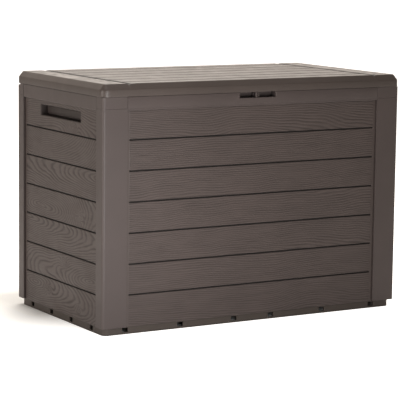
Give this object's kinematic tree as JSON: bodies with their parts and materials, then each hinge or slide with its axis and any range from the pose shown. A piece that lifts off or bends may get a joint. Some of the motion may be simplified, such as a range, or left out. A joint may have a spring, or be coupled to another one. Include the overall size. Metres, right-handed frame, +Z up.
{
  "type": "deck storage box",
  "caption": "Outdoor deck storage box with plank-patterned moulded panels, corner posts, recessed end handles and a hinged slatted lid with a padlock lug.",
  "frame": {"origin": "centre of the footprint at ground level, under the box", "axes": "+X along the front from its left end to its right end, +Y from the front to the hinged rear, +Z up"},
  "size_m": [0.78, 0.433, 0.55],
  "materials": {
    "plank_plastic": "umber resin embossed with wood grain",
    "frame_plastic": "umber resin, smooth satin",
    "lid_plastic": "umber resin, satin, slats with fine grain",
    "base_plastic": "darker umber resin, matte",
    "hinge_plastic": "dark brown nylon, fine matte texture",
    "pin_steel": "plain steel wire",
    "screw_steel": "zinc-plated steel"
  },
  "bodies": {
    "box": {"base_tray": "base_plastic", "front_panel": "plank_plastic", "rear_panel": "plank_plastic", "left_panel": "plank_plastic", "right_panel": "plank_plastic", "corner_post_front_left": "frame_plastic", "corner_post_front_right": "frame_plastic", "corner_post_rear_left": "frame_plastic", "corner_post_rear_right": "frame_plastic", "corner_cap_front_left": "frame_plastic", "corner_cap_front_right": "frame_plastic", "corner_cap_rear_left": "frame_plastic", "corner_cap_rear_right": "frame_plastic", "front_rail_left": "frame_plastic", "front_rail_right": "frame_plastic", "latch_pocket": "frame_plastic", "rail_padlock_lug": "frame_plastic", "rear_rail": "frame_plastic", "left_rail": "frame_plastic", "right_rail": "frame_plastic", "hinge_body_leaf_left": "hinge_plastic", "hinge_pin_left": "pin_steel", "body_screw_left_outer": "screw_steel", "body_screw_left_inner": "screw_steel", "hinge_body_leaf_right": "hinge_plastic", "hinge_pin_right": "pin_steel", "body_screw_right_outer": "screw_steel", "body_screw_right_inner": "screw_steel"},
    "lid": {"lid": "lid_plastic", "lid_padlock_lug": "lid_plastic", "hinge_lid_leaf_left": "hinge_plastic", "lid_screw_left_outer": "screw_steel", "lid_screw_left_inner": "screw_steel", "hinge_lid_leaf_right": "hinge_plastic", "lid_screw_right_outer": "screw_steel", "lid_screw_right_inner": "screw_steel"}
  },
  "joints": [
    {"name": "lid_hinge", "type": "hinge", "parent": "box", "child": "lid", "pos_m": [0, 0.21, 0.528], "axis": [-1, 0, 0], "range_deg": [0, 100]}
  ]
}
